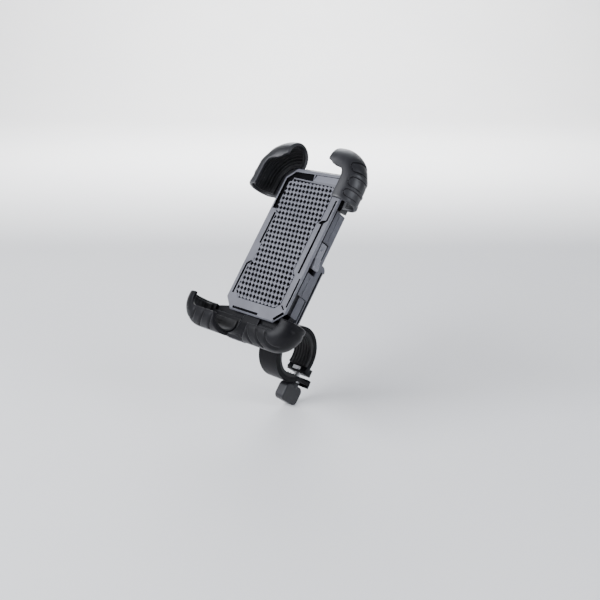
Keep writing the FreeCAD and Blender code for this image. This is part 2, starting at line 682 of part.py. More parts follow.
def wing_knob():
    half = KNOB_WIDTH / 2
    plate = box(-KNOB_THICK / 2, KNOB_THICK / 2, KNOB_BOTTOM, KNOB_TOP - 0.4, BOLT_Z - half,
                BOLT_Z + half)
    corners = edges_where(plate, lambda e: e.BoundBox.XLength > KNOB_THICK - 0.1)
    plate = plate.makeFillet(3.4, corners)
    faces = edges_where(plate, lambda e: e.BoundBox.XLength < 0.01)
    plate = plate.makeFillet(1.0, faces)
    collar = rod(V(0, KNOB_TOP - 2.4, BOLT_Z), ALONG, COLLAR_R, 3.6)
    knob = join([plate, collar])
    return knob.cut(rod(V(0, KNOB_BOTTOM + 4.0, BOLT_Z), ALONG, BOLT_R, 30))


# ---------------------------------------------------------------- every piece

HEAD_PIECES = {
    "front_cover": front_cover(),
    "grip_pad": grip_pad(),
    "mid_housing": mid_housing(),
    "rear_cover": rear_cover(),
    "cover_screws": cover_screws(),
    "pinion_pin": rod(V(0, 0, HOUSE_BACK + 0.1), OUT, 1.5, 8.6),
    "sync_pinion": pinion(),
    "upper_arm": flip(arm(1)),
    "lower_arm": flip(arm(-1)),
    "upper_claw_screws": arm_screws(1),
    "lower_claw_screws": arm_screws(-1),
    "lock_lever": lock_lever(),
    "lock_shoe": lock_shoe(),
    "lock_pin": rod(V(LEVER_X, LEVER_Y, -10.2), OUT, 0.8, 7.6),
    "ball_cup": ball_cup(),
    "ring_nut": ring_nut(),
    "upper_spring": spring(-21.0, 31.0, POST_X),
    "lower_spring": spring(-31.0, 21.0, -POST_X),
}

for name, level, sign in (("upper", UPPER, 1), ("lower", LOWER, -1)):
    shell = claw(level)
    liner = claw_liner(level)
    if sign < 0:
        shell = shell.cut(notch(level))
        liner = liner.cut(notch(level))
    for x, y in claw_screw_spots(sign):
        shell = shell.cut(rod(V(x, y, -12), OUT, 1.0, 14))
    if sign < 0:
        shell = shell.mirror(V(0, 0, 0), ALONG)
        liner = liner.mirror(V(0, 0, 0), ALONG)
    HEAD_PIECES[name + "_right_claw"] = shell
    HEAD_PIECES[name + "_left_claw"] = flip(shell)
    HEAD_PIECES[name + "_right_liner"] = liner
    HEAD_PIECES[name + "_left_liner"] = flip(liner)

CLAMP_PIECES = {
    "ball_stud": ball_stud(),
    "clamp_base": clamp_base(),
    "clamp_strap": clamp_strap(),
    "base_liner": ribbed_liner(14.0, 195.0),
    "strap_liner": ribbed_liner(-6.0, -117.0),
    "hinge_pin": rod(HINGE + V(-CLAMP_HALF, 0, 0), ACROSS, PIN_R, 2 * CLAMP_HALF),
    "clamp_nut": clamp_nut(),
    "thrust_washer": thrust_washer(),
    "clamp_bolt": clamp_bolt(),
    "wing_knob": wing_knob(),
}

for name, shape in HEAD_PIECES.items():
    save(name, from_head(shape))
for name, shape in CLAMP_PIECES.items():
    save(name, from_clamp(shape))
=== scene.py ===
import bmesh
import bpy
import json
import math
import numpy as np
from mathutils import Matrix, Vector


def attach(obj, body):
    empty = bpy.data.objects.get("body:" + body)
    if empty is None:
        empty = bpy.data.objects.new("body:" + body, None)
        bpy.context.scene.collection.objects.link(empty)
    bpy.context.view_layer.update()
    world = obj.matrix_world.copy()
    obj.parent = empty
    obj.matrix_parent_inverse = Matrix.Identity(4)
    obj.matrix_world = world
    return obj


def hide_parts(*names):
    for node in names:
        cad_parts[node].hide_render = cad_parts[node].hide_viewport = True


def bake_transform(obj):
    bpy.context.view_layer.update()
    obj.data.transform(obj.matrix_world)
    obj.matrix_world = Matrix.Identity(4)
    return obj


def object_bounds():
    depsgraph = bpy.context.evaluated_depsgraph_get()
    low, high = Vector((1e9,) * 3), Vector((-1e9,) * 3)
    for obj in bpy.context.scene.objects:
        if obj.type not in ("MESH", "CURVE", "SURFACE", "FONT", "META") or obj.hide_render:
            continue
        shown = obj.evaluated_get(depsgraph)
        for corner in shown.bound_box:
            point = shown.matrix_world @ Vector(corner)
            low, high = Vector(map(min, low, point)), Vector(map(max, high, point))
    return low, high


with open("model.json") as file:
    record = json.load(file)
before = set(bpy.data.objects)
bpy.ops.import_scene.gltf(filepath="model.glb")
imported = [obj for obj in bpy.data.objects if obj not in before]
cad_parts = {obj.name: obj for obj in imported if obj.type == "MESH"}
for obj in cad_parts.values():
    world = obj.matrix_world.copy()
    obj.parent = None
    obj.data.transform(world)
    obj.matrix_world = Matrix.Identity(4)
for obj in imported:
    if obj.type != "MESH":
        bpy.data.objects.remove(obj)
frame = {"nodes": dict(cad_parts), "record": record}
cad_low, cad_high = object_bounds()
nodes = frame["nodes"]

# Sizes are in millimetres.  Head pieces are drawn in the head's frame: x across the plate, y up it
# and z out of it.  Clamp pieces are drawn about the centre of the handlebar.
MM = 0.001
RECLINE = math.radians(52.31)
BAR_Y, BAR_Z = -53.7, -44.5
TURN = Matrix.Rotation(RECLINE, 4, "X")
HEAD = TURN @ Matrix.Translation(Vector((0, -BAR_Y, -BAR_Z)) * MM)
CLAMP = TURN
TO_HEAD = HEAD.inverted()


# ---------------------------------------------------------------- materials

# The scales of the noises, in features per metre.
MOTTLE_SCALE, PATCH_SCALE, SPECK_SCALE, SCUFF_SCALE = 85, 420, 900, 260
GRAIN_DISTANCE = 0.05 * MM
EDGE_LIFT = 2.2         # how much paler a worn edge is than the surface, unless a colour is given
DUST_COLOUR = (0.32, 0.31, 0.30)


def shader_tree(name):
    material = bpy.data.materials.new(name)
    material.use_nodes = True
    tree = material.node_tree
    return material, tree, tree.nodes["Principled BSDF"]


def noise(tree, place, scale, detail=3.0, rough=0.55, stretch=None):
    """A noise texture in object space; stretch draws it out along some axes."""
    node = tree.nodes.new("ShaderNodeTexNoise")
    node.inputs["Scale"].default_value = scale
    node.inputs["Detail"].default_value = detail
    node.inputs["Roughness"].default_value = rough
    source = place
    if stretch:
        mapping = tree.nodes.new("ShaderNodeMapping")
        mapping.inputs["Scale"].default_value = stretch
        mapping.inputs["Rotation"].default_value = (0.4, 0.9, 0.3)
        tree.links.new(place, mapping.inputs["Vector"])
        source = mapping.outputs["Vector"]
    tree.links.new(source, node.inputs["Vector"])
    return node.outputs["Fac"]


def ramp(tree, source, stops):
    node = tree.nodes.new("ShaderNodeValToRGB")
    node.color_ramp.interpolation = "EASE"
    while len(node.color_ramp.elements) < len(stops):
        node.color_ramp.elements.new(0.5)
    for element, (at, colour) in zip(node.color_ramp.elements, stops):
        element.position = at
        element.color = (*colour, 1) if hasattr(colour, "__len__") else (colour,) * 3 + (1,)
    tree.links.new(source, node.inputs["Fac"])
    return node.outputs["Color"]


def span(tree, source, low, high, out_low, out_high):
    node = tree.nodes.new("ShaderNodeMapRange")
    for key, value in (("From Min", low), ("From Max", high), ("To Min", out_low),
                       ("To Max", out_high)):
        node.inputs[key].default_value = value
    tree.links.new(source, node.inputs["Value"])
    return node.outputs["Result"]


def mix_colour(tree, factor, first, second):
    node = tree.nodes.new("ShaderNodeMix")
    node.data_type = "RGBA"
    tree.links.new(factor, node.inputs["Factor"])
    tree.links.new(first, node.inputs["A"])
    if hasattr(second, "__len__"):
        node.inputs["B"].default_value = (*second, 1)
    else:
        tree.links.new(second, node.inputs["B"])
    return node.outputs["Result"]


def times(tree, first, second):
    node = tree.nodes.new("ShaderNodeMath")
    node.operation = "MULTIPLY"
    for index, value in enumerate((first, second)):
        if isinstance(value, (int, float)):
            node.inputs[index].default_value = value
        else:
            tree.links.new(value, node.inputs[index])
    return node.outputs["Value"]


def surface(name, dark, light, rough=(0.4, 0.55), grain=3200, bump=0.25, edge=None, edge_amount=0.5,
            edge_radius=0.35, metallic=0.0, specular=0.5, coat=0.0, dust=0.0, brushed=False):
    """A moulded or machined surface with mottled colour, worn edges that the claws also use as a
    painted highlight, fine grain and scuffs.
    """
    material, tree, shader = shader_tree(name)
    place = tree.nodes.new("ShaderNodeTexCoord").outputs["Object"]
    shader.inputs["Metallic"].default_value = metallic
    shader.inputs["Specular IOR Level"].default_value = specular
    shader.inputs["Coat Weight"].default_value = coat
    shader.inputs["Coat Roughness"].default_value = 0.3

    mottle = noise(tree, place, MOTTLE_SCALE, 4.0)
    colour = ramp(tree, mottle, [(0.3, dark), (0.7, light)])

    bevel = tree.nodes.new("ShaderNodeBevel")
    bevel.samples = 4
    bevel.inputs["Radius"].default_value = edge_radius * MM
    normal = tree.nodes.new("ShaderNodeNewGeometry").outputs["Normal"]
    dot = tree.nodes.new("ShaderNodeVectorMath")
    dot.operation = "DOT_PRODUCT"
    tree.links.new(bevel.outputs["Normal"], dot.inputs[0])
    tree.links.new(normal, dot.inputs[1])
    edge_mask = span(tree, dot.outputs["Value"], 0.995, 0.86, 0.0, 1.0)
    patches = span(tree, noise(tree, place, PATCH_SCALE, 3.0), 0.36, 0.66, 0.15, 1.0)
    edge_wear_and_highlight = times(tree, times(tree, edge_mask, patches), edge_amount)
    colour = mix_colour(tree, edge_wear_and_highlight, colour, edge or tuple(EDGE_LIFT * c for c in light))
    if dust:
        speck = span(tree, noise(tree, place, SPECK_SCALE, 4.0, 0.7), 0.62, 0.74, 0.0, dust)
        colour = mix_colour(tree, speck, colour, DUST_COLOUR)
    tree.links.new(colour, shader.inputs["Base Color"])

    scuff = noise(tree, place, SCUFF_SCALE, 5.0, 0.7, (1.0, 0.12, 1.0))
    tree.links.new(span(tree, scuff, 0.3, 0.7, rough[0], rough[1]), shader.inputs["Roughness"])

    fine = noise(tree, place, grain, 2.0, 0.5, (1.0, 0.05, 1.0) if brushed else None)
    relief = tree.nodes.new("ShaderNodeBump")
    relief.inputs["Strength"].default_value = bump
    relief.inputs["Distance"].default_value = GRAIN_DISTANCE
    tree.links.new(fine, relief.inputs["Height"])
    tree.links.new(bevel.outputs["Normal"], relief.inputs["Normal"])
    tree.links.new(relief.outputs["Normal"], shader.inputs["Normal"])
    return material


COVER = surface("cover_plastic", (0.105, 0.106, 0.124), (0.128, 0.130, 0.150), (0.36, 0.5),
                bump=0.18, edge=(0.42, 0.43, 0.47), edge_amount=0.7)
# A paler copy of the cover plastic: painted light on the front cover's top facet and on the lock
# lever.
LIT_COVER = surface("lit_cover_facet", (0.17, 0.172, 0.198), (0.20, 0.203, 0.232), (0.3, 0.42),
                bump=0.15, edge=(0.42, 0.43, 0.47), edge_amount=0.7)
PAD = surface("pad_rubber", (0.120, 0.121, 0.142), (0.150, 0.151, 0.174), (0.5, 0.65), 2200, 0.2,
              edge_amount=0.3)
# Near-black painted shade for the insides of the cover's slots, the pad's pits, the housing's step
# and the rear cover's grooves.
SHADE_BLACK = surface("painted_shade_black", (0.0015, 0.0015, 0.002), (0.003, 0.003, 0.004), (0.7, 0.9),
                     specular=0.06, edge_amount=0.1)
HOUSING = surface("housing_plastic", (0.078, 0.079, 0.094), (0.098, 0.100, 0.118), (0.36, 0.5),
                  bump=0.2, edge=(0.3, 0.3, 0.34), edge_amount=0.6, specular=0.35)
# The claw plastics' pale edge colour and wide edge radius paint a highlight along the lips, as well
# as wear.
CLAW = surface("claw_plastic", (0.006, 0.006, 0.0082), (0.010, 0.010, 0.013), (0.38, 0.5),
               2600, 0.2, edge=(0.10, 0.10, 0.115), edge_amount=0.7, edge_radius=0.7,
               specular=0.6, dust=0.02)
# A darker, less shiny copy of the claw plastic: painted shade on the lower claws and the lower arm,
# which are the same plastic as the upper claws.
SHADED_CLAW = surface("shaded_claw_plastic", (0.0035, 0.0035, 0.0045), (0.006, 0.006, 0.0076),
                   (0.36, 0.48), 2600, 0.2, edge=(0.10, 0.10, 0.115), edge_amount=0.7,
                   edge_radius=0.7, specular=0.15, dust=0.02)
# Near-black painted shade for the faces in the claws' grooves.
GROOVE_SHADE = surface("claw_groove_shade", (0.002, 0.002, 0.003), (0.004, 0.004, 0.005), (0.6, 0.8),
                 specular=0.2, edge_amount=0.1)
LINER = surface("liner_rubber", (0.006, 0.006, 0.007), (0.011, 0.011, 0.012), (0.5, 0.68), 2000,
                0.3, edge_amount=0.15, specular=0.35)
SHELL = surface("clamp_plastic", (0.004, 0.004, 0.005), (0.007, 0.007, 0.0085), (0.34, 0.46),
                3000, 0.2, edge_amount=0.35, specular=0.09)
GRIP = surface("clamp_rubber", (0.008, 0.008, 0.009), (0.013, 0.013, 0.014), (0.55, 0.7), 2000,
               0.3, edge_amount=0.2, specular=0.35, dust=0.06)
KNOB = surface("knob_plastic", (0.011, 0.011, 0.014), (0.017, 0.017, 0.02), (0.3, 0.42), 2800,
               0.2, edge_amount=0.4, specular=0.35)
STUD = surface("stud_metal", (0.02, 0.02, 0.022), (0.034, 0.034, 0.037), (0.25, 0.38), 1800, 0.12,
               edge=(0.3, 0.3, 0.31), edge_amount=0.6, coat=0.3)
STEEL = surface("steel", (0.42, 0.42, 0.43), (0.56, 0.56, 0.57), (0.22, 0.4), 1500, 0.2,
                metallic=1.0, edge=(0.75, 0.75, 0.76), brushed=True)
GEAR = surface("gear_plastic", (0.56, 0.55, 0.51), (0.66, 0.65, 0.61), (0.32, 0.46), 2500, 0.1,
               edge=(0.8, 0.79, 0.76), edge_amount=0.3)

SLOT_MATERIALS = {
    "cover_plastic": COVER, "pad_rubber": PAD, "housing_plastic": HOUSING, "claw_plastic": CLAW,
    "liner_rubber": LINER, "clamp_plastic": SHELL, "clamp_rubber": GRIP, "knob_plastic": KNOB,
    "stud_metal": STUD, "steel": STEEL, "gear_plastic": GEAR}


# ---------------------------------------------------------------- mesh helpers

def piece(name, points, faces, place, material, body, replaces, sharp=50):
    """A new mesh from points in millimetres, placed in the row's frame. It rides on body, unless
    that is None, when it is left unattached."""
    mesh = bpy.data.meshes.new(name)
    moved = [place @ (Vector(p) * MM) for p in points]
    mesh.from_pydata(moved, [], faces)
    mesh.validate()
    obj = bpy.data.objects.new(name, mesh)
    bpy.context.scene.collection.objects.link(obj)
    mesh.materials.append(material)
    mesh.shade_smooth()
    mesh.set_sharp_from_angle(angle=math.radians(sharp))
    if body:
        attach(obj, body)
    if replaces:
        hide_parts(replaces)
    return obj


def grid_faces(rows, columns, close_columns=False, flip=False):
    """Four-sided faces between rows of points."""
    faces = []
    last = columns if close_columns else columns - 1
    for i in range(rows - 1):
        for j in range(last):
            k = (j + 1) % columns
            face = (i * columns + j, i * columns + k, (i + 1) * columns + k, (i + 1) * columns + j)
            faces.append(face[::-1] if flip else face)
    return faces


def weld(obj):
    """Join points that coincide, and turn all faces outward."""
    work = bmesh.new()
    work.from_mesh(obj.data)
    bmesh.ops.remove_doubles(work, verts=work.verts, dist=0.001 * MM)
    bmesh.ops.recalc_face_normals(work, faces=work.faces)
    work.to_mesh(obj.data)
    work.free()


def smooth_step(value, low, high):
    share = np.clip((value - low) / (high - low), 0, 1)
    return share * share * (3 - 2 * share)


def recolour(obj, materials, choose):
    """Add materials to a piece. choose gives a face's material from its centre in the head's
    frame, in millimetres, and its normal's z there; 0 keeps the first one."""
    for material in materials:
        obj.data.materials.append(material)
    turn = TO_HEAD.to_3x3()
    for polygon in obj.data.polygons:
        normal = (turn @ polygon.normal).normalized()
        index = choose(TO_HEAD @ polygon.center / MM, normal.z)
        if index:
            polygon.material_index = index


# ---------------------------------------------------------------- grip pad

PAD_OUTLINE = [
    (-15.5, -40.5), (15.5, -40.5), (19.0, -37.0), (19.0, -18.5), (16.4, -16.0), (16.4, 15.8),
    (18.6, 18.0), (18.6, 37.8), (16.2, 40.2), (-17.6, 41.4), (-20.2, 38.6), (-20.2, 19.8),
    (-18.0, 17.6), (-18.0, -16.0), (-19.8, -18.0), (-19.8, -36.2)]
PAD_SOUTH, PAD_NORTH = -40.5, 41.4
PAD_BOTTOM, PAD_TOP = -1.4, 0.3
PAD_ROWS, PAD_COLUMNS = 330, 157
END_GAP, SIDE_GAP = 0.02, 0.03      # how far the pad stays inside its outline
PITCH_X, PITCH_Y, ROW_SHIFT = 3.0, 3.25, -0.3
PIT_DEPTH, WEB_SAG, EDGE_DROP = 1.15, 0.22, 0.35
# Pad faces below this height get painted shade in the pits.
PIT_SHADE_BELOW = -0.08


def pad_limits(y):
    """Where the pad's outline crosses the level y, left and right."""
    crossings = []
    for (x0, y0), (x1, y1) in zip(PAD_OUTLINE, PAD_OUTLINE[1:] + PAD_OUTLINE[:1]):
        if y0 != y1 and min(y0, y1) <= y <= max(y0, y1):
            crossings.append(x0 + (x1 - x0) * (y - y0) / (y1 - y0))
    return min(crossings), max(crossings)


def pad_height(x, y, left, right):
    """Raised web with a slanted lattice of diamond pits, and a plain border."""
    row = y / PITCH_Y
    across = (x / PITCH_X - ROW_SHIFT * row) % 1.0 - 0.5
    along = row % 1.0 - 0.5
    pit = 1 - smooth_step(np.abs(across) + np.abs(along), 0.35, 0.49)
    waves = np.cos(2 * math.pi * (across + 0.5)) + np.cos(2 * math.pi * (along + 0.5))
    crown = 0.5 + 0.25 * waves
    to_side = np.minimum(x - left, right - x)
    edge = np.minimum(to_side, np.minimum(y - PAD_SOUTH, PAD_NORTH - y))
    inside = smooth_step(edge, 0.2, 0.7)
    rounded = EDGE_DROP * (1 - smooth_step(edge, 0.0, 0.4))
    return PAD_TOP - WEB_SAG * (1 - crown) - PIT_DEPTH * pit * inside - rounded


def grip_pad():
    low, high = PAD_SOUTH + END_GAP, PAD_NORTH - END_GAP
    points = []
    for i in range(PAD_ROWS):
        y = low + (high - low) * i / (PAD_ROWS - 1)
        left, right = pad_limits(y)
        left, right = left + SIDE_GAP, right - SIDE_GAP
        x = left + (right - left) * np.arange(PAD_COLUMNS) / (PAD_COLUMNS - 1)
        z = pad_height(x, np.full(PAD_COLUMNS, y), left, right)
        z[0] = z[-1] = PAD_BOTTOM
        if i in (0, PAD_ROWS - 1):
            z[:] = PAD_BOTTOM
        points += list(zip(x, [y] * PAD_COLUMNS, z))
    pad = piece("grip_pad_lattice", points, grid_faces(PAD_ROWS, PAD_COLUMNS), HEAD, PAD, "head",
                "grip_pad", 70)
    # The bottoms of the pits are painted black as painted shade.
    recolour(pad, [SHADE_BLACK], lambda centre, slope: int(centre.z < PIT_SHADE_BELOW))


grip_pad()


# ---------------------------------------------------------------- claws and their liners

CLAW_BACK = -4.8
NOSE_WRAP = math.radians(18)    # how much further the lip curls over round an upper claw's bend
WALL = 2.2
LINER_THICK = 1.3
UPPER = {"r": 10.0, "x": 32.0, "y": 52.3, "bend": 13.0, "side_end": 28.0, "inner": 16.4}
LOWER = {"r": 9.2, "x": 37.0, "y": 56.3, "bend": 6.0, "side_end": 47.3, "inner": 6.9}


def middle_line(radius, lip, reach, count):
    """Points, outward normals and angles along a claw's section, from the lip round to the back."""
    arc = radius * (lip + math.pi / 2)
    total = arc + reach
    found = []
    for i in range(count):
        t = total * i / (count - 1)
        if t < arc:
            a = lip - t / radius
            found.append((radius * math.cos(a), radius * math.sin(a), math.cos(a), math.sin(a), a))
        else:
            found.append((-(t - arc), -radius, 0.0, -1.0, -math.pi / 2 - (t - arc) / radius))
    return np.array(found)


def along_path(level, offset, share, start, inner):
    """The place on the claw's path for a section offset: up the side, round the bend, inward."""
    bend_x = level["x"] - level["bend"]
    bend_y = level["y"] - level["bend"]
    side = bend_y - start
    corner = level["bend"] * math.pi / 2
    top = bend_x - inner
    distance = np.full(len(offset), share * (side + corner + top))
    turn = np.clip((distance - side) / level["bend"], 0, math.pi / 2)
    radius = level["bend"] + offset
    x = bend_x + radius * np.cos(turn) - np.maximum(distance - side - corner, 0)
    y = bend_y + radius * np.sin(turn) - np.maximum(side - distance, 0)
    return x, y, distance


def path_length(level, start, inner):
    """The length of a claw's path, up the side, round the bend and inward."""
    return (level["y"] - level["bend"] - start) + level["bend"] * math.pi / 2 \
        + (level["x"] - level["bend"] - inner)


def groove(distance, width):
    """How deep a groove of this width is at a distance from its middle, from 0 to 1."""
    return np.exp(-(distance / width) ** 2)


def to_polyline(s, t, line):
    """Shortest distance from each (s, t) to a polyline."""
    best = np.full(np.shape(s), 1e9)
    for (s0, t0), (s1, t1) in zip(line, line[1:]):
        length = (s1 - s0) ** 2 + (t1 - t0) ** 2
        share = np.clip(((s - s0) * (s1 - s0) + (t - t0) * (t1 - t0)) / length, 0, 1)
        best = np.minimum(best, np.hypot(s - s0 - share * (s1 - s0), t - t0 - share * (t1 - t0)))
    return best


# The upper claws' recesses: places along the path, and where they stop round the section.
RECESS_CENTRES = (5.2, 11.6, 18.2)
RECESS_HALF, RECESS_DEPTH = 2.2, 0.42
RECESS_FRONT, RECESS_BACK = math.radians(46), math.radians(-78)
RECESS_LINE, LINE_DEPTH = 0.42, 0.38
END_LINE = 1.7                      # a finer line this far from the open end
# The lower claws' curved grooves: the distance from the middle at the lip, and lower down.
CURVED_GROOVES = ((15.2, 18.6), (22.6, 27.5), (30.0, 34.0))
CURVE_LINE, CREASE_LINE, CURVE_DEPTH = 0.64, 0.34, 0.7


def upper_relief(s, angle):
    """Three stadium-shaped recesses that run round the outside, and a line near the open end."""
    radius = UPPER["r"]
    t = angle * radius
    depth = np.zeros(np.shape(s))
    lines = np.zeros(np.shape(s))
    front, back, half = RECESS_FRONT * radius, RECESS_BACK * radius, RECESS_HALF
    for centre in RECESS_CENTRES:
        turn = np.linspace(-math.pi / 2, math.pi / 2, 9)
        line = [(centre - half, back)]
        line += [(centre + half * math.sin(a), front + half * math.cos(a)) for a in turn]
        line.append((centre + half, back))
        inside = np.where((t < front) & (t > back), half - np.abs(s - centre),
                          half - np.hypot(s - centre, t - front))
        inside = np.where(t <= back, -1.0, inside)
        depth += RECESS_DEPTH * smooth_step(inside, -0.1, 0.5)
        lines = np.maximum(lines, groove(to_polyline(s, t, line), RECESS_LINE))
    end_line = [(END_LINE, math.radians(20) * radius), (END_LINE, math.radians(-80) * radius)]
    lines = np.maximum(lines, 0.8 * groove(to_polyline(s, t, end_line), 0.3))
    return depth + LINE_DEPTH * lines, lines


def lower_relief(s, angle):
    """Curved grooves down the front and a crease round the outer corner."""
    radius = LOWER["r"]
    t = angle * radius
    total = path_length(LOWER, LOWER["side_end"], LOWER["inner"])
    lines = np.zeros(np.shape(s))
    for top_x, bottom_x in CURVED_GROOVES:
        line = []
        for share in np.arange(9) / 8:
            x = top_x + (bottom_x - top_x) * share ** 1.6
            line.append((total - (x - LOWER["inner"]), math.radians(80 - 62 * share) * radius))
        lines = np.maximum(lines, groove(to_polyline(s, t, line), CURVE_LINE))
    crease = [(3.5, math.radians(35) * radius), (3.2, math.radians(-60) * radius)]
    cut = np.maximum(lines, 0.7 * groove(to_polyline(s, t, crease), CREASE_LINE))
    return CURVE_DEPTH * cut, lines


def notch_reach(level, z):
    """Where a lower claw's inner end lies at height z: the two lips lean away from each other."""
    height = [-20.0, -1.0, 4.0, 9.0, 13.0, 20.0]
    reach = [0.0, 0.0, 1.4, 4.2, 7.2, 8.4]
    return level["inner"] + np.interp(z, height, reach)


SECTION_STEPS, STATIONS, END_STEPS, NOSE_STEPS = 66, 96, 6, 11
RIB_DEPTH, RIB_PITCH = 0.55, 2.1


def section(radius, half, lip, reach):
    """A claw's section as a loop of middle-line rows, with how far each point lies outward of the
    middle line and on past its end. Both edges are blunt."""
    middle = middle_line(radius, lip, reach - half, SECTION_STEPS)
    nose = [(math.copysign(abs(math.cos(a)) ** 0.4, math.cos(a)), 0.6 * math.sin(a) ** 0.4)
            for a in np.linspace(0, math.pi, NOSE_STEPS)[1:-1]]
    loop = [(m, half, 0.0) for m in middle]
    loop += [(middle[-1], half * out, half * on) for out, on in nose]
    loop += [(m, -half, 0.0) for m in middle[::-1]]
    loop += [(middle[0], -half * out, -half * on) for out, on in nose]
    return [np.array(column) for column in zip(*loop)]


def lip_wrap(to_end):
    """How much further an upper claw's lip curls over: most of all round the bend."""
    rise = 0.25 + 0.75 * smooth_step(to_end, 0.0, 6.0)
    return NOSE_WRAP * rise * (1 - smooth_step(to_end, 9.0, 17.0))


def rib_cut(phase, gap, to_end, lower):
    """The valleys between a liner's ribs, which fade out towards its edges."""
    wave = smooth_step(np.cos(2 * math.pi * phase / RIB_PITCH), -0.25, 0.35)
    fade = smooth_step(phase, 0.6, 1.4) * smooth_step(gap, 0.3, 1.2)
    if lower:
        fade = 0.5 * fade * smooth_step(to_end, 9.0, 13.0)
    return RIB_DEPTH * (1 - wave) * fade


def claw_wall(lower, side, radius, half, lip, reach, inset=0.0, relief=None, ribbed=False):
    """Points, faces and painted groove-shade marks of a rounded wall swept along a claw's path."""
    level = LOWER if lower else UPPER
    y_sign = -1 if lower else 1
    tube_z = CLAW_BACK + level["r"]
    base, offset, ahead = section(radius, half, lip, reach)
    angle = base[:, 4]
    on_arc = angle > 0
    on_face = ahead == 0
    outside = (offset > half * 0.999) & on_face
    start = level["side_end"] + inset
    length = path_length(level, start, level["inner"] + inset)
    near = [half * (1 - math.cos(a)) for a in np.linspace(0, math.pi / 2, END_STEPS)]
    places = near + list(np.linspace(half, length - half, STATIONS))[1:-1]
    places += [length - d for d in reversed(near)]
    points = []
    shade_marks = []
    for place in places:
        to_end = length - place
        gap = min(place, to_end)
        # what is left of the wall's thickness near its rounded ends
        keep = 1.0 if gap >= half else math.sqrt(max(1 - ((half - gap) / half) ** 2, 0))
        wrap = 0.0 if lower else lip_wrap(to_end)
        turned = np.where(on_arc, angle + wrap * np.clip(angle / lip, 0, 1) ** 2, angle)
        normal_a = np.where(on_arc, np.cos(turned), base[:, 2])
        normal_z = np.where(on_arc, np.sin(turned), base[:, 3])
        at_a = np.where(on_arc, radius * np.cos(turned), base[:, 0])
        at_z = np.where(on_arc, radius * np.sin(turned), base[:, 1])
        # the section runs on past its ends along the tangent, which is the normal turned back
        a = at_a + keep * (offset * normal_a + ahead * normal_z)
        z = at_z + keep * (offset * normal_z - ahead * normal_a)
        inner = (notch_reach(level, z + tube_z) if lower else level["inner"]) + inset
        x, y, distance = along_path(level, a, place / length, start, inner)
        cut = np.zeros(len(a))
        if relief:
            depth, lines = relief(distance + inset, angle)
            cut = np.where(outside, depth, 0.0)
            # the relief's lines also mark the faces that get painted groove shade
            shade_marks += list(np.where(outside, lines, 0.0))
        if ribbed:
            valleys = rib_cut((lip - angle) * radius, gap, to_end, lower)
            cut = cut + np.where((offset < 0) & on_face, valleys, 0.0)
        bend_x = level["x"] - level["bend"]
        bend_y = level["y"] - level["bend"]
        turn = np.arctan2(np.maximum(y - bend_y, 0), np.maximum(x - bend_x, 0))
        shift = np.where(offset > 0, -1.0, 1.0) * keep * cut
        x = x + shift * normal_a * np.cos(turn)
        y = y + shift * normal_a * np.sin(turn)
        z = z + shift * normal_z
        points += [(side * px, y_sign * py, pz + tube_z) for px, py, pz in zip(x, y, z)]
    return points, grid_faces(len(places), len(angle), True), shade_marks


def claw_piece(node, ending, wall, material, body):
    """One claw's shell or liner, with painted shade in the grooves where the wall is marked."""
    points, faces, shade_marks = wall
    obj = piece(node + ending, points, faces, HEAD, material, body, node, 60)
    if shade_marks:
        obj.data.materials.append(GROOVE_SHADE)
        for polygon in obj.data.polygons:
            if sum(shade_marks[v] for v in polygon.vertices) > 2.5:
                polygon.material_index = 1
    weld(obj)
    obj.data.shade_smooth()


# The lower claws get the darker copy of the claw plastic as painted shade.
for height, lower, outer, relief, plastic in (
        ("upper", False, UPPER["r"], upper_relief, CLAW),
        ("lower", True, LOWER["r"], lower_relief, SHADED_CLAW)):
    arm = height + "_arm"
    for side, word in ((1, "right"), (-1, "left")):
        shell = claw_wall(lower, side, outer - WALL / 2, WALL / 2, math.radians(90), 5.6,
                          relief=relief)
        claw_piece(f"{height}_{word}_claw", "_shell", shell, plastic, arm)
        liner = claw_wall(lower, side, outer - WALL - LINER_THICK / 2, LINER_THICK / 2,
                          math.radians(80), 2.6, inset=1.5, ribbed=True)
        claw_piece(f"{height}_{word}_liner", "_ribbed", liner, LINER, arm)


# ---------------------------------------------------------------- clamp liners

LINER_HALF_WIDTH = 7.5
LINER_OUTER, LINER_FLOOR, LINER_CREST = 14.88, 13.25, 12.72
CLAMP_RIB_PITCH = 2.28


def clamp_liner(name, start, end, body, replaces):
    """A rubber strip inside the clamp with ribs that run round the handlebar."""
    across = np.linspace(-LINER_HALF_WIDTH, LINER_HALF_WIDTH, 121)
    wave = smooth_step(np.cos(2 * math.pi * across / CLAMP_RIB_PITCH), -0.35, 0.35)
    inner = LINER_FLOOR - (LINER_FLOOR - LINER_CREST) * wave
    inner = inner + 0.4 * (1 - smooth_step(LINER_HALF_WIDTH - np.abs(across), 0.0, 0.5))
    loop = list(zip(across, inner))
    loop += [(LINER_HALF_WIDTH, LINER_OUTER), (-LINER_HALF_WIDTH, LINER_OUTER)]
    angles = np.linspace(math.radians(start), math.radians(end), 90)
    points = []
    for angle in angles:
        for x, r in loop:
            points.append((x, r * math.sin(angle), r * math.cos(angle)))
    faces = grid_faces(len(angles), len(loop), True)
    faces.append(tuple(range(len(loop)))[::-1])
    first = (len(angles) - 1) * len(loop)
    faces.append(tuple(range(first, first + len(loop))))
    obj = piece(name, points, faces, CLAMP, GRIP, body, replaces, 45)
    weld(obj)
    obj.data.set_sharp_from_angle(angle=math.radians(45))


clamp_liner("base_liner_ribbed", 14.0, 195.0, "clamp_base", "base_liner")
clamp_liner("strap_liner_ribbed", -6.0, -117.0, "clamp_strap", "strap_liner")


# ---------------------------------------------------------------- return springs

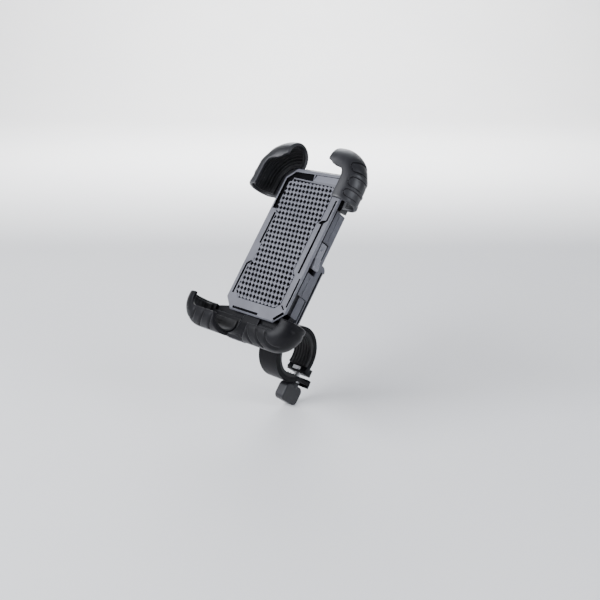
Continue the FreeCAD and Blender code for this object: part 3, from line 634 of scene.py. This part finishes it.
POST_X, SPRING_Z, EYE_Z = 14.15, -4.4, -3.5
FIXED_POST, MOVING_POST = -21.0, 31.0
EYE_RADIUS, COIL_RADIUS, COIL_PITCH, WIRE_RADIUS = 1.25, 1.3, 2.4, 0.22
COIL_INSET = 1.4                    # from a post to the coil's end
WIRE_SIDES, COIL_STEPS, EYE_STEPS = 8, 16, 24


def wire(path, upward, closed=False):
    """Points of a round wire along a path; upward is never along the path."""
    path = np.array(path)
    ahead = np.gradient(path, axis=0)
    if closed:
        ahead = np.roll(path, -1, 0) - np.roll(path, 1, 0)
    across = np.cross(ahead, upward)
    across /= np.linalg.norm(across, axis=1)[:, None]
    out = np.cross(across, ahead)
    out /= np.linalg.norm(out, axis=1)[:, None]
    turn = np.linspace(0, 2 * math.pi, WIRE_SIDES + 1)[:-1]
    return [tuple(p + WIRE_RADIUS * (math.cos(a) * u + math.sin(a) * v))
            for p, u, v in zip(path, across, out) for a in turn]


def return_spring(node, x, fixed, moving):
    """A spring from the head's post at y = fixed to the arm's post at y = moving."""
    low, high = min(fixed, moving), max(fixed, moving)
    length = high - low - 2 * COIL_INSET
    turns = length / COIL_PITCH
    steps = int(turns * COIL_STEPS)
    coil = []
    for i in range(steps + 1):
        turn = 2 * math.pi * turns * i / steps
        coil.append((x + COIL_RADIUS * math.cos(turn), low + COIL_INSET + length * i / steps,
                     SPRING_Z + COIL_RADIUS * math.sin(turn)))
    points = wire(coil, (0, 1, 0))
    faces = grid_faces(steps + 1, WIRE_SIDES, True)
    faces.append(tuple(range(WIRE_SIDES)))
    faces.append(tuple(range(steps * WIRE_SIDES, (steps + 1) * WIRE_SIDES))[::-1])
    for y in (low, high):
        eye = [(x + EYE_RADIUS * math.cos(a), y + EYE_RADIUS * math.sin(a), EYE_Z)
               for a in np.linspace(0, 2 * math.pi, EYE_STEPS + 1)[:-1]]
        first = len(points)
        points += wire(eye, (0, 0, 1), True)
        faces += [tuple(first + v % (EYE_STEPS * WIRE_SIDES) for v in face)
                  for face in grid_faces(EYE_STEPS + 1, WIRE_SIDES, True)]
    spring = piece(node + "_coil", points, faces, HEAD, STEEL, None, node, 80)
    weld(spring)
    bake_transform(spring)


return_spring("upper_spring", POST_X, FIXED_POST, MOVING_POST)
return_spring("lower_spring", -POST_X, -FIXED_POST, -MOVING_POST)


# ---------------------------------------------------------------- CAD nodes that show as they are

for part in frame["record"]["subparts"]:
    node = nodes[part["node"]]
    if node.hide_render:
        continue
    node.data.materials.clear()
    node.data.materials.append(SLOT_MATERIALS[part["material_slot"]])

# The lock lever gets the paler copy of the cover plastic as painted light.
nodes["lock_lever"].data.materials[0] = LIT_COVER
# The lower arm gets the darker copy of the claw plastic as painted shade.
nodes["lower_arm"].data.materials[0] = SHADED_CLAW

COVER_HALF, COVER_TOP, COVER_BOTTOM, CORNER_CUT = 24.6, 47.9, -47.4, 6.6


def cheek_colour(centre, slope):
    """The lower arm's cheeks beside the housing are grey like it, and their fins get the darker
    knob plastic as painted shade under the front cover's overhang.
    """
    if abs(centre.x) > 22.3 and centre.y > -41.1:
        return 2 if centre.z > -5.5 else 1
    return 0


def step_colour(centre, slope):
    """The step in the housing's sides is painted black: a painted shadow line under the front
    cover.
    """
    return int(23.6 < abs(centre.x) < 24.4 and -3.1 < centre.z < -2.25)


def side_groove_colour(centre, slope):
    """The long grooves in the rear cover's sides are painted black inside as painted shade."""
    in_groove = -14.65 < centre.z < -13.35 or -17.05 < centre.z < -15.25
    return int(23.2 < abs(centre.x) < 24.2 and in_groove)


def cover_colour(centre, slope):
    """The slots in the front cover are painted black inside as painted shade, and its top facet
    gets a paler copy of the cover plastic as painted light.
    """
    corner = COVER_HALF + COVER_TOP - CORNER_CUT - abs(centre.x) - abs(centre.y)
    edge = min(COVER_HALF - abs(centre.x), COVER_TOP - centre.y, centre.y - COVER_BOTTOM,
               corner * 0.7)
    if 0.3 < slope < 0.995:
        return 2 if 41.5 < centre.y < 46.6 and abs(centre.x) < 20 else 0
    # Faces inside the slots get the near-black painted shade.
    return int(-1.45 < centre.z < -0.15 and edge > 0)


recolour(nodes["lower_arm"], [HOUSING, KNOB], cheek_colour)
recolour(nodes["mid_housing"], [SHADE_BLACK], step_colour)
recolour(nodes["rear_cover"], [SHADE_BLACK], side_groove_colour)
recolour(nodes["front_cover"], [SHADE_BLACK, LIT_COVER], cover_colour)


# ---------------------------------------------------------------- floor, lights and camera

def lamp(name, place, target, size, power, colour):
    data = bpy.data.lights.new(name, "AREA")
    data.shape = "RECTANGLE"
    data.size, data.size_y = size
    data.energy = power
    data.color = colour
    obj = bpy.data.objects.new(name, data)
    obj.location = place
    obj.rotation_mode = "QUATERNION"
    obj.rotation_quaternion = (Vector(target) - Vector(place)).to_track_quat("-Z", "Y")
    bpy.context.scene.collection.objects.link(obj)
    return obj


FLOOR_NEAR, BEND_START, BEND_RADIUS, WALL_RISE = -4.0, 1.6, 0.9, 4.0
BEND_STEPS = 24


def backdrop():
    """A pale floor that curves up into a wall behind the object."""
    level = cad_low.z
    profile = [(FLOOR_NEAR, level)]
    for i in range(BEND_STEPS + 1):
        a = math.radians(90 * i / BEND_STEPS)
        profile.append((BEND_START + BEND_RADIUS * math.sin(a),
                        level + BEND_RADIUS * (1 - math.cos(a))))
    profile.append((BEND_START + BEND_RADIUS, level + WALL_RISE))
    away = Vector((-0.696, 0.718, 0))
    aside = Vector((0.718, 0.696, 0))
    points = []
    for out, up in profile:
        for wide in (-5.0, 5.0):
            points.append(away * out + aside * wide + Vector((0, 0, up)))
    mesh = bpy.data.meshes.new("backdrop")
    mesh.from_pydata(points, [], grid_faces(len(profile), 2, flip=True))
    mesh.shade_smooth()
    obj = bpy.data.objects.new("backdrop", mesh)
    bpy.context.scene.collection.objects.link(obj)
    material, tree, shader = shader_tree("pale_floor")
    place = tree.nodes.new("ShaderNodeTexCoord").outputs["Object"]
    tint = ramp(tree, noise(tree, place, 3.0, 3.0),
                [(0.3, (0.84, 0.84, 0.85)), (0.7, (0.87, 0.87, 0.87))])
    tree.links.new(tint, shader.inputs["Base Color"])
    shader.inputs["Roughness"].default_value = 0.85
    mesh.materials.append(material)


backdrop()

world = bpy.data.worlds.new("studio")
bpy.context.scene.world = world
world.use_nodes = True
sky = world.node_tree.nodes["Background"]
sky.inputs["Color"].default_value = (0.93, 0.95, 1.0, 1)
sky.inputs["Strength"].default_value = 0.22

target = Vector((0, 0, 0.05))
lamp("key", (-0.3, -1.0, 0.68), target, (1.0, 0.8), 30.0, (0.93, 0.95, 1.0))
lamp("fill", (1.0, 0.2, 0.55), target, (0.35, 0.6), 6.5, (0.88, 0.92, 1.0))
lamp("rim", (-0.7, 0.7, 0.7), target, (0.6, 0.6), 6.0, (0.90, 0.94, 1.0))
lamp("wall", (-0.6, 0.62, 1.1), (-1.9, 1.95, 0.35), (1.0, 1.0), 90.0, (1.0, 1.0, 1.0))

CAMERA_PLACE = Vector((0.3635, -0.3645, 0.1964))
CAMERA_RIGHT = Vector((0.7178, 0.6962, 0.0)).normalized()
CAMERA_AHEAD = Vector((-0.6636, 0.6842, -0.3024)).normalized()


def take_view():
    """A camera with the photograph's viewing angle."""
    data = bpy.data.cameras.new("camera")
    data.lens = 53.2
    data.sensor_width = 36
    data.clip_start = 0.01
    data.dof.use_dof = False
    camera = bpy.data.objects.new("camera", data)
    bpy.context.scene.collection.objects.link(camera)
    up = CAMERA_RIGHT.cross(CAMERA_AHEAD).normalized()
    turn = Matrix((CAMERA_RIGHT, up, -CAMERA_AHEAD)).transposed()
    camera.matrix_world = Matrix.Translation(CAMERA_PLACE) @ turn.to_4x4()
    bpy.context.scene.camera = camera


take_view()
